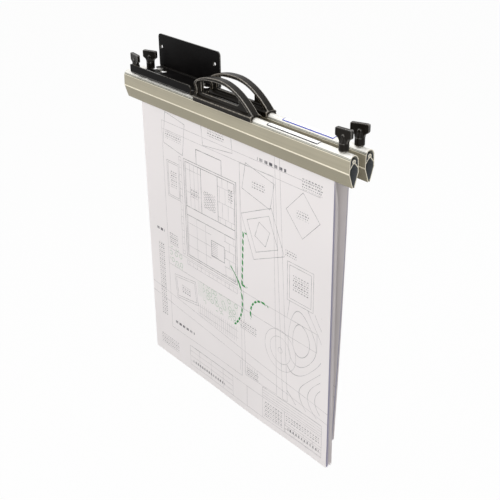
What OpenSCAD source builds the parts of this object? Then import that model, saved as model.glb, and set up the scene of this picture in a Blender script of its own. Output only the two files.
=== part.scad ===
// Plan hanging rack: two sheet clamps hung from a bent wall bracket.
// Origin: middle of the two wall screw holes, on the bracket's back face.
// X runs along the clamps, Y points into the wall, Z is up. Millimetres.

/* [Bracket] */
// Thickness of the bracket's sheet metal
bracket_t = 2.5; // [1.5:0.1:4]
// Inside radius of the bracket's two bends
bend_r = 2; // [1:0.1:4]
// Height of the wall plate above the screw holes
plate_rise = 27; // [18:0.5:60]
// Drop from the screw holes to the top of the floor
floor_drop = 43; // [35:0.5:70]
// Height of the front lip above the floor
lip_h = 17; // [10:0.5:17.5]
// Corner radius of the wall plate's top
plate_corner_r = 8; // [2:0.5:12]
// Corner radius of the lip and of both bends' left ends
lip_corner_r = 5; // [2:0.5:7]
// Left edge of the plate to the left screw hole
hole_inset_left = 10; // [8:0.5:30]
// Right edge of the plate to the right screw hole
hole_inset_right = 18; // [8:0.5:30]
// Diameter of the wall screw holes
hole_d = 5.5; // [3:0.1:8]
// Diameter of the countersinks of the wall screw holes
countersink_d = 9.5; // [8.5:0.1:12]

/* [Clamp layout] */
// Length of the jaws and the top rail
clamp_len = 687; // [600:1:1300]
// Distance from one clamp's axis to the next
clamp_pitch = 39; // [37:0.5:60]
// Distance from the wall to the rear clamp's axis
wall_to_rear = 22; // [21:0.5:40]
// How far the rear clamp hangs to the left of the front one
clamp_stagger = 3; // [0:0.5:3]
// Front clamp's left end to the bracket's left edge
clamp_left_out = 36; // [34:0.5:45]
// Gap between the bracket and the front handle
handle_gap = 3.5; // [3.2:0.1:10]
// Gap between the bracket's floor and the top of the clamps
hang_gap = 2; // [1.5:0.1:4]
// Front clamp's axis to the inner face of the lip
lip_gap = 12.8; // [12.6:0.1:20]
// Travel of a clamp from its seat to where its studs come free
unhook_travel = 14; // [13:0.5:16]

/* [Jaws and rail] */
// Height of a clamp from the jaw tips to the top of the rail
clamp_h = 57.5; // [56:0.1:60]
// Height of the ridge along a jaw's outside
ridge_z = 26; // [20:0.5:30]
// Half width of a clamp at the ridge
ridge_hw = 10.8; // [10.5:0.1:11.5]
// Radius of the bead along the ridge
ridge_bead_r = 0.9; // [0.6:0.05:1.2]
// Half width of a clamp at the top of the jaws
jaw_top_hw = 9.8; // [9.7:0.05:10]
// Wall thickness of the jaws
jaw_wall = 1.6; // [1.2:0.1:1.8]
// Width of a jaw's tip
tip_w = 1.3; // [0.8:0.1:2]
// Height of the gripping land inside a tip
grip_h = 4; // [3:0.1:6]
// Number of grip teeth on a land
grip_teeth = 3; // [2:1:4]
// Outer radius of the rail's domed top
dome_r = 9.3; // [9.2:0.05:9.4]
// Wall thickness of the rail
rail_wall = 1.6; // [1.2:0.1:1.8]
// Thickness of the rail's brims
brim_t = 1.2; // [0.8:0.1:1.6]
// Width of the grooves along the rail's sides
groove_w = 0.9; // [0.6:0.05:1.2]
// Number of grooves along each side of the rail
groove_n = 2; // [0:1:3]
// Depth of the hinge axis below the top of the rail
hinge_depth = 11.5; // [11.3:0.1:12.5]
// Diameter of the hinge rod
rod_d = 4; // [3:0.1:4.4]
// Outer diameter of the hinge knuckles
knuckle_d = 7.8; // [7:0.1:7.9]
// Number of knuckles between the two anchor blocks
knuckle_n = 9; // [5:2:13]
// Thickness of the webs that carry the knuckles
web_t = 1.5; // [1.2:0.1:1.8]

/* [Knobs] */
// Front clamp's left end to the left knob's axis
knob_inset_left = 33; // [30:0.5:36]
// Right end to the right knob's axis
knob_inset_right = 25; // [22:0.5:40]
// Height of a knob from its foot to the top of its wing
knob_h = 39; // [35:0.5:45]
// Height of the wing's straight sides
wing_side_h = 13.5; // [10:0.5:14]
// Height of a knob's round stem
stem_h = 14; // [13:0.1:18]
// Diameter of the stem
stem_d = 17.8; // [15:0.1:18.5]
// Length of the wing
wing_len = 34.6; // [30:0.2:36]
// Thickness of the wing's rim
wing_t = 7; // [5:0.1:8]
// Thread diameter of the knob's stud
stud_d = 6; // [5:0.1:6]

/* [Handle] */
// Length of a handle
handle_len = 180; // [160:1:200]
// Height of a handle above the rail
handle_rise = 49.5; // [45:0.5:60]
// Thickness of the grip, measured through the arch
grip_t = 7; // [6:0.1:9]
// Half width of the grip
grip_hw = 8; // [6:0.1:9]
// Half width of the handle's foot
foot_hw = 12.6; // [12:0.1:13.5]
// Thickness of the web between the grip and the base
handle_web_t = 6; // [4:0.1:7.5]
// Height of the finger opening's floor above the rail
window_floor = 11.5; // [11:0.1:16]

/* [Sheets] */
// Width of the hung sheets
sheet_w = 594; // [420:1:594]
// Visible drop of the front sheets
front_drop = 608; // [400:1:900]
// Visible drop of the rear sheets
rear_drop = 566; // [400:1:900]
// Number of sheets on a clamp
sheet_n = 5; // [3:1:6]
// Thickness of one sheet
sheet_t = 0.4; // [0.3:0.01:0.42]
// How far the sheets spread apart at the bottom
sheet_fan = 9; // [4:0.5:12]
// How far the rear sheets lean forwards at their foot
rear_lean = 14; // [0:0.5:16]
// Length of sheet inside the clamp
sheet_grip = 14; // [8:0.5:15]

/* [Label] */
// Length of the index label on the rail
label_len = 135; // [80:1:140]
// Gap between the handle and the label
label_gap = 37.5; // [10:0.5:44]

/* [Hidden] */
$fn = 48;

// Overrun of every cut
eps = 0.5;
// Running clearance of a shaft in its hole
run_c = 0.05;
// Gap between parts that face each other without touching
gap = 0.3;
// Room that the jaws' webs need below an anchor block as they swing
swing_room = 1.2;

// Places in the bracket
handle_x = (clamp_len - handle_len) / 2;
bracket_w = handle_x - clamp_left_out - handle_gap;
hole_spacing = bracket_w - hole_inset_left - hole_inset_right;
left_x = -hole_spacing / 2 - hole_inset_left;
floor_y = -bracket_t;
floor_depth = wall_to_rear - bracket_t + clamp_pitch + lip_gap;
lip_y = floor_y - floor_depth;
bend_out_r = bend_r + bracket_t;

// Places of the two clamps: left end, axis, jaw tips
clamp_z = -floor_drop - bracket_t - hang_gap - clamp_h;
front_at = [left_x - clamp_left_out, -wall_to_rear - clamp_pitch, clamp_z];
rear_at = [left_x - clamp_left_out - clamp_stagger, -wall_to_rear, clamp_z];

// Section of the rail and the jaws
dome_z = clamp_h - dome_r;
pivot_z = clamp_h - hinge_depth;
rail_r = dome_r - rail_wall;
groove_angle = 13;
brim_z = dome_z + gap;
brim_hw = jaw_top_hw + gap;
jaw_top_z = brim_z - gap / 2;
rod_r = rod_d / 2;
knuckle_r = knuckle_d / 2;
pack_t = sheet_n * sheet_t + (sheet_n - 1) * sheet_t / 4;
tip_in = pack_t / 2 + gap / 2;
web_foot_share = 0.42;
web_foot = [ridge_hw - jaw_wall, ridge_z + (pivot_z - ridge_z) * web_foot_share];
tooth_d = 0.4;

// Anchor blocks: the nuts that the knobs' studs pull on
block_l = 16;
block_hw = 4.5;
block_top_share = 0.69;
block_top = dome_z + rail_r * block_top_share;
block_under = 2.8;
block_bottom = pivot_z - rod_r - block_under;
thread_floor = 1;
stud_end = pivot_z + rod_r + thread_floor + gap;

// Knobs
washer_t = 0.8;
washer_r = 7;
knob_z = clamp_h + washer_t + run_c;
stem_r = stem_d / 2;
stud_r = stud_d / 2 - run_c;
stud_grip = 12;
wing_rim = 1.6;
wing_sink = 0.7;
boss_out = 0.8;
knob_angles = [[-8, 7], [20, 22]];

// How far up its rise the wing's flare stays narrow, and where it gets wide
flare_shares = [0.83, 0.65];

// Hanger studs in the rail and their keyholes in the floor
hanger_inset = 32;
neck_r = 4;
head_r = 7;
head_h = 3;
shank_r = 2.5;
keyhole_slack = 0.6;
hanger_nut_r = 4.6;
hanger_nut_h = 3.9;

// Handle
handle_screw_inset = 22;
screw_r = 2;
screw_head_r = 3.5;
screw_head_h = 2.3;
// Plastic left between the screws' ends and the window's floor
screw_cover = 2.5;
screw_l = window_floor - screw_cover;
curve_n = 12;

label_t = 0.3;
label_half_angle = 44;

metal = "#b8b2a3";
metal_bright = "#d9d6cc";
black = "#1d1b18";
steel = "#8e8c86";
paper = "#e4e1de";
label_white = "#f4f4f2";

// Points of a cubic curve through p0 and p3, drawn towards p1 and p2
function cubic(p0, p1, p2, p3, n) = [for (i = [0 : n]) let (t = i / n, s = 1 - t)
    s * s * s * p0 + 3 * s * s * t * p1 + 3 * s * t * t * p2 + t * t * t * p3];

// Extrudes a section drawn in Y and Z along X
module along_x(length) {
    rotate([90, 0, 90]) linear_extrude(length) children();
}

// Extrudes an outline drawn in X and Z to both sides of Y = 0
module across_y(width) {
    translate([0, width / 2, 0]) rotate([90, 0, 0]) linear_extrude(width) children();
}

// A cylinder along X, from x = 0
module rod_x(length, radius) {
    rotate([0, 90, 0]) cylinder(h = length, r = radius);
}

module at_knob(left, offset = 0) {
    translate([left ? knob_inset_left + offset : clamp_len - knob_inset_right, 0, 0]) children();
}

module at_hangers(offset) {
    for (x = [clamp_left_out + hanger_inset, clamp_left_out + bracket_w - hanger_inset])
        translate([x + offset, 0, 0]) children();
}

// Quarter of a bent strip in the Y-Z section: quadrant qy, qz around the origin
module bend_section(qy, qz) {
    intersection() {
        difference() {
            circle(r = bend_out_r);
            circle(r = bend_r);
        }
        translate([qy < 0 ? -bend_out_r : 0, qz < 0 ? -bend_out_r : 0])
            square([bend_out_r, bend_out_r]);
    }
}

// Section of the bracket: wall plate, floor and lip
module bracket_section() {
    floor_z = -floor_drop;
    bend_z = floor_z + bend_r;
    translate([-bracket_t, bend_z]) square([bracket_t, plate_rise - bend_z]);
    translate([floor_y - bend_r, bend_z]) bend_section(1, -1);
    translate([lip_y + bend_r, floor_z - bracket_t])
        square([floor_depth - 2 * bend_r, bracket_t]);
    translate([lip_y + bend_r, bend_z]) bend_section(-1, -1);
    translate([lip_y - bracket_t, bend_z]) square([bracket_t, lip_h - bend_r]);
}

// What is cut away to round the corner at the origin; the sheet lies towards sx, sz
module corner_cut(sx, sz, radius, width = 2 * bracket_t + 2 * eps) {
    across_y(width) difference() {
        translate([sx > 0 ? -eps : -radius, sz > 0 ? -eps : -radius])
            square([radius + eps, radius + eps]);
        translate([sx * radius, sz * radius]) circle(r = radius);
    }
}

// Keyhole of one hanger stud: seat at the origin, way in at +X
module keyhole() {
    slot_r = neck_r + keyhole_slack;
    depth = bracket_t + 2 * eps;
    translate([0, 0, -bracket_t - eps]) {
        cylinder(h = depth, r = slot_r);
        translate([0, -slot_r, 0]) cube([unhook_travel, 2 * slot_r, depth]);
        translate([unhook_travel, 0, 0]) cylinder(h = depth, r = head_r + keyhole_slack);
    }
}

// Open slot at the floor's left edge that lets a knob's stem move in
module stem_slot() {
    slot_r = stem_r + keyhole_slack;
    depth = bracket_t + 2 * eps;
    translate([0, 0, -bracket_t - eps]) {
        translate([unhook_travel, 0, 0]) cylinder(h = depth, r = slot_r);
        translate([-stem_d, -slot_r, 0]) cube([stem_d + unhook_travel, 2 * slot_r, depth]);
    }
}

module wall_bracket() {
    right_x = left_x + bracket_w;
    bend_w = bend_out_r + 2 * eps;
    color(black) difference() {
        translate([left_x, 0, 0]) along_x(bracket_w) bracket_section();
        for (side = [1, -1]) translate([side > 0 ? left_x : right_x, 0, 0]) {
            translate([0, -bracket_t / 2, plate_rise]) corner_cut(side, -1, plate_corner_r);
            translate([0, lip_y - bracket_t / 2, lip_h - floor_drop])
                corner_cut(side, -1, side > 0 ? bend_r : lip_corner_r);
        }
        for (y = [eps, lip_y - bracket_t + bend_out_r + eps])
            translate([left_x, y - bend_w / 2, -floor_drop - bracket_t])
                corner_cut(1, 1, lip_corner_r + bracket_t, bend_w);
        for (x = [-hole_spacing / 2, hole_spacing / 2]) translate([x, eps, 0]) {
            rotate([90, 0, 0]) cylinder(h = bracket_t + 2 * eps, d = hole_d);
            translate([0, -bracket_t - eps, 0]) rotate([-90, 0, 0])
                cylinder(h = (countersink_d - hole_d) / 2, d1 = countersink_d, d2 = hole_d);
        }
        for (at = [front_at, rear_at]) translate([at[0], at[1], -floor_drop]) {
            at_hangers(0) keyhole();
            at_knob(true) stem_slot();
        }
    }
}

// Grooves along both sides of the dome, evenly set by their angle above the brims
module groove_sections() {
    for (side = [-1, 1], i = [1 : groove_n]) {
        turn = i * groove_angle;
        translate(dome_r * [side * cos(turn), sin(turn)]) circle(r = groove_w / 2);
    }
}

// Domed top rail with two brims that press on the jaws
module top_rail_body() {
    color(metal_bright) difference() {
        along_x(clamp_len) {
            difference() {
                translate([0, dome_z]) circle(r = dome_r);
                translate([0, dome_z]) circle(r = rail_r);
                translate([0, dome_z]) groove_sections();
                translate([-dome_r - eps, -clamp_h])
                    square([2 * (dome_r + eps), clamp_h + brim_z]);
            }
            for (side = [-1, 1]) translate([side > 0 ? rail_r : -brim_hw, brim_z])
                square([brim_hw - rail_r, brim_t]);
        }
        for (left = [true, false]) at_knob(left)
            translate([0, 0, dome_z]) cylinder(h = dome_r + eps, r = stud_r + 2 * run_c);
        at_hangers(0) translate([0, 0, dome_z]) cylinder(h = dome_r + eps, r = shank_r + run_c);
        at_handle_screws() translate([0, 0, dome_z])
            cylinder(h = dome_r + eps, r = screw_r + run_c);
    }
}

// Section of the far jaw's wall, from the gripping land to the top
module jaw_wall_section() {
    pitch = grip_h / grip_teeth;
    slope = (ridge_hw - tip_in - tip_w) / ridge_z;
    inner_foot = tip_in + tip_w + slope * grip_h - jaw_wall;
    teeth = [for (i = [0 : grip_teeth - 1]) each [
        [tip_in, grip_h - i * pitch],
        [tip_in + tooth_d, grip_h - (i + 0.5) * pitch]]];
    polygon(concat([
        [tip_in, 0], [tip_in + tip_w, 0], [ridge_hw, ridge_z], [jaw_top_hw, jaw_top_z],
        [jaw_top_hw - jaw_wall, jaw_top_z], [ridge_hw - jaw_wall, ridge_z],
        [max(inner_foot, tip_in + tooth_d), grip_h + gap]], teeth));
}

// Slanted web from the jaw's wall up to the hinge axis
module jaw_web_section() {
    along = (web_foot - [0, pivot_z]) / norm(web_foot - [0, pivot_z]);
    side = [along[1], -along[0]] * web_t / 2;
    top = [0, pivot_z] + along * (rod_r + knuckle_r) / 2;
    foot = web_foot + along * jaw_wall / 2;
    polygon([top + side, foot + side, foot - side, top - side]);
}

// Knuckles take turns along the rod; each is [start, end, belongs to the near jaw]
block_room = block_l / 2 + gap;
knuckle_from = knob_inset_left + block_room;
knuckle_to = clamp_len - knob_inset_right - block_room;
knuckle_pitch = (knuckle_to - knuckle_from) / knuckle_n;
knuckles = concat(
    [[gap, knob_inset_left - block_room, true]],
    [for (i = [0 : knuckle_n - 1]) [knuckle_from + i * knuckle_pitch + gap,
        knuckle_from + (i + 1) * knuckle_pitch - gap, i % 2 == 1]],
    [[clamp_len - knob_inset_right + block_room, clamp_len - gap, true]]);

// One jaw, drawn as the far one; near picks which knuckles are its own
module jaw_body(near) {
    color(metal) difference() {
        union() {
            along_x(clamp_len) {
                jaw_wall_section();
                translate([ridge_hw - ridge_bead_r / 2, ridge_z])
                    circle(r = ridge_bead_r);
                jaw_web_section();
            }
            for (k = knuckles) if (k[2] == near)
                translate([k[0], 0, pivot_z]) rod_x(k[1] - k[0], knuckle_r);
        }
        translate([-eps, 0, pivot_z]) rod_x(clamp_len + 2 * eps, rod_r + run_c);
        for (k = knuckles) if (k[2] != near)
            translate([k[0] - gap, 0, pivot_z]) rod_x(k[1] - k[0] + 2 * gap, knuckle_r + gap);
        for (left = [true, false]) at_knob(left)
            translate([-block_room, -block_hw - gap, block_bottom - swing_room])
                cube([2 * block_room, 2 * (block_hw + gap), clamp_h]);
    }
}

module hinge_rod_body() {
    color(steel) translate([gap, 0, pivot_z]) rod_x(clamp_len - 2 * gap, rod_r);
}

module anchor_block() {
    difference() {
        translate([-block_l / 2, -block_hw, block_bottom])
            cube([block_l, 2 * block_hw, block_top - block_bottom]);
        translate([-block_l / 2 - eps, 0, pivot_z]) rod_x(block_l + 2 * eps, rod_r + run_c);
        translate([0, 0, pivot_z + rod_r + thread_floor])
            cylinder(h = clamp_h, r = stud_r + run_c);
    }
}

module anchor_blocks_body() {
    color(steel) for (left = [true, false]) at_knob(left) anchor_block();
}

// Half outline of the wing, drawn in by an inset
function wing_side(inset) = let (a = wing_len / 2 - inset, top = knob_h - inset,
        low = knob_h - wing_side_h, foot = stem_h + inset, rise = low - foot) concat(
    cubic([stem_r - inset, foot], [stem_r - inset, foot + rise * flare_shares[0]],
        [a, foot + rise * flare_shares[1]], [a, low], curve_n / 2),
    cubic([a, top - wing_t / 2], [a, top - wing_t / 8], [a - wing_t / 8, top],
        [a - wing_t / 2, top], curve_n / 3));

module wing_outline(inset) {
    half = wing_side(inset);
    flipped = [for (i = [len(half) - 1 : -1 : 0]) [-half[i][0], half[i][1]]];
    polygon(concat(half, flipped));
}

module knob_body(angle) {
    rim = wing_rim;
    sink = wing_sink;
    color(black) rotate([0, 0, angle]) difference() {
        union() {
            translate([0, 0, knob_z]) cylinder(h = stem_h, r = stem_r);
            translate([0, 0, knob_z + stem_h])
                cylinder(h = wing_side_h - rim, r1 = stem_r, r2 = wing_t / 2);
            translate([0, 0, knob_z]) {
                across_y(wing_t - 2 * sink) wing_outline(rim / 2);
                across_y(wing_t) difference() {
                    wing_outline(0);
                    wing_outline(rim);
                }
            }
            translate([0, wing_t / 2 + boss_out, knob_z + knob_h - wing_side_h])
                rotate([90, 0, 0]) cylinder(h = wing_t + 2 * boss_out, r = wing_t / 2);
        }
        translate([0, 0, knob_z - eps]) cylinder(h = stud_grip + eps, r = stud_r + run_c);
    }
}

// Stud moulded into a knob
module stud_body(left) {
    color(steel) at_knob(left) translate([0, 0, stud_end])
        cylinder(h = knob_z + stud_grip - stud_end, r = stud_r);
}

module washers_body() {
    color(steel) for (left = [true, false]) at_knob(left)
        translate([0, 0, clamp_h]) difference() {
            cylinder(h = washer_t, r = washer_r);
            translate([0, 0, -eps]) cylinder(h = washer_t + 2 * eps, r = stud_r + gap);
        }
}

module at_handle_screws() {
    for (x = [handle_x + handle_screw_inset, handle_x + handle_len - handle_screw_inset])
        translate([x, 0, 0]) children();
}

// Shares of a handle's length and rise that shape its arch
post_shares = [0.53, 0.72];
apex_share = 0.445;
crown_shares = [0.39, 0.19];
slope_shares = [0.833, 0.687];
heel_share = 0.09;

// Side outline of the handle; the grip's inner edge is the same curve, drawn in
function arch(inset) = let (w = handle_len, h = handle_rise,
        right = w - inset * 1.6, top = h - inset, apex = w * apex_share) concat(
    cubic([inset, h * post_shares[0]], [inset, h * post_shares[1]],
        [inset + apex * crown_shares[0], top], [apex, top], curve_n),
    cubic([apex, top], [apex + w * crown_shares[1], top],
        [w * slope_shares[0] - inset, h * slope_shares[1] - inset / 2],
        [right, h * heel_share], curve_n));

// The post at the left has a waist above the foot
module handle_outline(inset) {
    foot_z = dome_z - clamp_h + inset;
    waist_x = inset + waist_in;
    translate([handle_x, clamp_h]) polygon(concat(
        [[handle_len - inset * 1.6, foot_z], [inset, foot_z], [inset, handle_rise * waist_shares[0]],
            [waist_x, handle_rise * waist_shares[1]], [waist_x, handle_rise * waist_shares[2]]],
        arch(inset)));
}

// Mouldings of the handle's base: foot bead, neck and upper rail
base_lift = 2.4;
bead_lift = 0.4;
bead_r = 3.6;
upper_rail_r = 2.5;
neck_hw = 4;
waist_in = 3.5;
waist_shares = [0.1, 0.19, 0.36];
base_z = dome_z + base_lift;
bead_z = clamp_h + bead_lift;
gap_floor_z = clamp_h + window_floor;
upper_rail_z = gap_floor_z - upper_rail_r;
gap_shares = [0.1, 0.745];
gap_corner_r = 4;

// Section of the base: foot, bead, recessed panel and upper rail
module handle_base_section() {
    for (side = [-1, 1]) {
        translate([side * (foot_hw - bead_r), bead_z]) circle(r = bead_r);
        translate([side * (neck_hw - upper_rail_r), upper_rail_z]) circle(r = upper_rail_r);
    }
    polygon([[-foot_hw, base_z], [foot_hw, base_z], [foot_hw - gap, bead_z - bead_r / 2],
        [foot_hw - bead_r, bead_z + bead_r], [neck_hw, bead_z + 1.6 * bead_r],
        [neck_hw - gap, upper_rail_z], [neck_hw - upper_rail_r, gap_floor_z],
        [upper_rail_r - neck_hw, gap_floor_z], [gap - neck_hw, upper_rail_z],
        [-neck_hw, bead_z + 1.6 * bead_r], [bead_r - foot_hw, bead_z + bead_r],
        [gap - foot_hw, bead_z - bead_r / 2]]);
}

// The finger opening between the base and the grip
module finger_gap() {
    left = handle_len * gap_shares[0];
    right = handle_len * gap_shares[1];
    intersection() {
        handle_outline(grip_t);
        translate([handle_x, gap_floor_z]) union() {
            translate([left, 0]) square([right - gap_corner_r - left, handle_rise]);
            translate([left, gap_corner_r]) square([right - left, handle_rise]);
            translate([right - gap_corner_r, gap_corner_r]) circle(r = gap_corner_r);
        }
    }
}

module handle_body() {
    color(black) difference() {
        union() {
            intersection() {
                translate([handle_x, 0, 0]) along_x(handle_len) handle_base_section();
                across_y(2 * foot_hw + eps) handle_outline(0);
            }
            across_y(handle_web_t) difference() {
                handle_outline(0);
                finger_gap();
            }
            across_y(2 * grip_hw) intersection() {
                difference() {
                    handle_outline(0);
                    handle_outline(grip_t);
                }
                translate([handle_x, bead_z]) square([handle_len, handle_rise]);
            }
        }
        translate([0, 0, dome_z]) rod_x(clamp_len, dome_r + run_c);
        at_handle_screws() cylinder(h = clamp_h + screw_l, r = screw_r + run_c);
    }
}

module handle_screws_body() {
    head_top = dome_z + sqrt(pow(rail_r, 2) - pow(screw_head_r, 2)) - run_c;
    color(steel) at_handle_screws() {
        translate([0, 0, head_top - screw_head_h]) cylinder(h = screw_head_h, r = screw_head_r);
        translate([0, 0, head_top - run_c])
            cylinder(h = clamp_h + screw_l - head_top, r = screw_r);
    }
}

// Shouldered studs that hang in the floor's keyholes
module hanger_studs_body() {
    nut_top = dome_z + sqrt(pow(rail_r, 2) - pow(hanger_nut_r, 2)) - run_c;
    shank_end = nut_top - hanger_nut_h;
    neck_h = hang_gap + bracket_t + run_c;
    color(steel) at_hangers(0) {
        translate([0, 0, shank_end]) cylinder(h = clamp_h - shank_end + run_c, r = shank_r);
        translate([0, 0, clamp_h]) cylinder(h = neck_h, r = neck_r);
        translate([0, 0, clamp_h + neck_h]) cylinder(h = head_h, r = head_r);
    }
}

module hanger_nuts_body() {
    nut_top = dome_z + sqrt(pow(rail_r, 2) - pow(hanger_nut_r, 2)) - run_c;
    color(steel) at_hangers(0) translate([0, 0, nut_top - hanger_nut_h]) difference() {
        cylinder(h = hanger_nut_h, r = hanger_nut_r, $fn = 6);
        translate([0, 0, -eps]) cylinder(h = hanger_nut_h + 2 * eps, r = shank_r + run_c);
    }
}

// Index label bent over the rail
module index_label_body() {
    reach = dome_r * 2;
    color(label_white) translate([handle_x + handle_len + label_gap, 0, 0])
        along_x(label_len) translate([0, dome_z]) intersection() {
            difference() {
                circle(r = dome_r + run_c + label_t);
                circle(r = dome_r + run_c);
            }
            polygon([[0, 0], reach * [sin(label_half_angle), cos(label_half_angle)],
                reach * [-sin(label_half_angle), cos(label_half_angle)]]);
        }
}

// Hung sheets: each leaves the grip straight and drifts back towards its foot,
// and the whole bundle can lean forwards
module sheets_body(drop, lean) {
    steps = 5;
    lay = sheet_t * 1.25;
    color(paper) translate([(clamp_len - sheet_w) / 2, 0, 0])
        for (i = [0 : sheet_n - 1]) along_x(sheet_w) {
            y = -pack_t / 2 + i * lay;
            drift = sheet_fan * pow(i / (sheet_n - 1), 1.3);
            length = drop - drift * 0.6;
            face = [for (s = [0 : steps]) [y + (drift - lean) * pow(s / steps, 1.6),
                -length * s / steps]];
            back = [for (s = [steps : -1 : 0]) [face[s][0] + sheet_t, face[s][1]]];
            polygon(concat([[y, sheet_grip]], face, back, [[y + sheet_t, sheet_grip]]));
        }
}

module flip_near() {
    mirror([0, 1, 0]) children();
}

module front_top_rail() { translate(front_at) top_rail_body(); }
module front_near_jaw() { translate(front_at) flip_near() jaw_body(true); }
module front_far_jaw() { translate(front_at) jaw_body(false); }
module front_hinge_rod() { translate(front_at) hinge_rod_body(); }
module front_anchor_blocks() { translate(front_at) anchor_blocks_body(); }
module front_left_knob() { translate(front_at) at_knob(true) knob_body(knob_angles[0][0]); }
module front_right_knob() { translate(front_at) at_knob(false) knob_body(knob_angles[0][1]); }
module front_left_stud() { translate(front_at) stud_body(true); }
module front_right_stud() { translate(front_at) stud_body(false); }
module front_knob_washers() { translate(front_at) washers_body(); }
module front_handle() { translate(front_at) handle_body(); }
module front_handle_screws() { translate(front_at) handle_screws_body(); }
module front_hanger_studs() { translate(front_at) hanger_studs_body(); }
module front_hanger_nuts() { translate(front_at) hanger_nuts_body(); }
module front_index_label() { translate(front_at) index_label_body(); }
module front_sheets() { translate(front_at) sheets_body(front_drop, 0); }

module rear_top_rail() { translate(rear_at) top_rail_body(); }
module rear_near_jaw() { translate(rear_at) flip_near() jaw_body(true); }
module rear_far_jaw() { translate(rear_at) jaw_body(false); }
module rear_hinge_rod() { translate(rear_at) hinge_rod_body(); }
module rear_anchor_blocks() { translate(rear_at) anchor_blocks_body(); }
module rear_left_knob() { translate(rear_at) at_knob(true) knob_body(knob_angles[1][0]); }
module rear_right_knob() { translate(rear_at) at_knob(false) knob_body(knob_angles[1][1]); }
module rear_left_stud() { translate(rear_at) stud_body(true); }
module rear_right_stud() { translate(rear_at) stud_body(false); }
module rear_knob_washers() { translate(rear_at) washers_body(); }
module rear_handle() { translate(rear_at) handle_body(); }
module rear_handle_screws() { translate(rear_at) handle_screws_body(); }
module rear_hanger_studs() { translate(rear_at) hanger_studs_body(); }
module rear_hanger_nuts() { translate(rear_at) hanger_nuts_body(); }
module rear_index_label() { translate(rear_at) index_label_body(); }
module rear_sheets() { translate(rear_at) sheets_body(rear_drop, rear_lean); }

wall_bracket();
front_top_rail();
front_near_jaw();
front_far_jaw();
front_hinge_rod();
front_anchor_blocks();
front_left_knob();
front_right_knob();
front_left_stud();
front_right_stud();
front_knob_washers();
front_handle();
front_handle_screws();
front_hanger_studs();
front_hanger_nuts();
front_index_label();
front_sheets();
rear_top_rail();
rear_near_jaw();
rear_far_jaw();
rear_hinge_rod();
rear_anchor_blocks();
rear_left_knob();
rear_right_knob();
rear_left_stud();
rear_right_stud();
rear_knob_washers();
rear_handle();
rear_handle_screws();
rear_hanger_studs();
rear_hanger_nuts();
rear_index_label();
rear_sheets();
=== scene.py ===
"""Finishes, hung plans, labels and studio for the plan hanging rack."""

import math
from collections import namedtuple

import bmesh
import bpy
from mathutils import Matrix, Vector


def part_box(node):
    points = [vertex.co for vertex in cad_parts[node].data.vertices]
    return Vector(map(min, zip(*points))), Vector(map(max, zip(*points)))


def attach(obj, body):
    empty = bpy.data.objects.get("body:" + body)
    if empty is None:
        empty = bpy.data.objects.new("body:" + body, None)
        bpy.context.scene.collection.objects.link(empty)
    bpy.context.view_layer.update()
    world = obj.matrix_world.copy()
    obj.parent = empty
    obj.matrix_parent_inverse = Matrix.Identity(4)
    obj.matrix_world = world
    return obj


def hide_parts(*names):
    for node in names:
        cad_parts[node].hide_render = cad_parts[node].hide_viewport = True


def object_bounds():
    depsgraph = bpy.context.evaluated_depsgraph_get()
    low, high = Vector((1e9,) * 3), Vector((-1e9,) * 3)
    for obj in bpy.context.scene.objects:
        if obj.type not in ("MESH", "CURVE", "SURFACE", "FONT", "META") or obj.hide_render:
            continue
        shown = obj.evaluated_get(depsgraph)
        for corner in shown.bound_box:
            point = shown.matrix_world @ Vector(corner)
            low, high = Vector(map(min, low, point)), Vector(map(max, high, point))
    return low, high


bl_info = {
    "name": "Plan Hanging Rack",
    "version": (1, 1, 0),
    "blender": (4, 5, 0),
    "location": "View3D > Sidebar > Plan Rack",
    "description": "Dresses the plan hanging rack: metal, moulded parts, hung plans and studio",
    "category": "Object",
}

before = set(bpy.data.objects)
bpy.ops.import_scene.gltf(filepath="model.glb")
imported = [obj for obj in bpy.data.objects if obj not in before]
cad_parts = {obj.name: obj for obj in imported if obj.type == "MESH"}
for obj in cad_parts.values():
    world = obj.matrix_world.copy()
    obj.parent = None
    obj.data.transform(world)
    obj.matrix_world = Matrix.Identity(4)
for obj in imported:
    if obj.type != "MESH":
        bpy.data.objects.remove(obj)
cad_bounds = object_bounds()

MM = 0.001
CLAMPS = ("front", "rear")

# A clamp's section: how far above the jaws' tips and how far from its axis things are
RIDGE_RISE = 26 * MM
JAW_TOP_RISE = 48 * MM
WALL_MIDDLES = (1.2 * MM, 10 * MM, 9 * MM)  # Of a jaw's wall: at its tip, ridge and top
BEAD_AWAY, BEAD_RISE = 10.3 * MM, 27.5 * MM
LOWER_FADE = (24 * MM, 27 * MM)
SIDE_FADE = (51 * MM, 54 * MM)
BRIM_AWAY, BRIM_RISE = 9.35 * MM, 49.8 * MM
DOME_RISE = 48.2 * MM
GROOVE_FLOOR, GROOVE_REACH = 8.87 * MM, 0.28 * MM
Spot = namedtuple("Spot", "away rise cut")

# The index labels: radius and half angle of their wrap, thickness of the card
WRAP_RADIUS = 9.65 * MM
WRAP_HALF_ANGLE = math.radians(44)
CARD_THICKNESS = 0.3 * MM
CARD_CORNER = 1.5  # Corner radius and margin of the printed border, in millimetres
CARD_MARGIN = 1

# The hung sheets in the grip: how deep they sit, how far the first is before the axis, and
# how far one is from the next. They are never squared up, so each sits a little aside.
GRIP_DEPTH = 14 * MM
GRIP_FIRST = 1.2 * MM
GRIP_STEP = 0.5 * MM
ASIDE = (0, 1.6, 0.7, 2.6, 1.4, 2.0, 0.9, 2.4)

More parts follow.
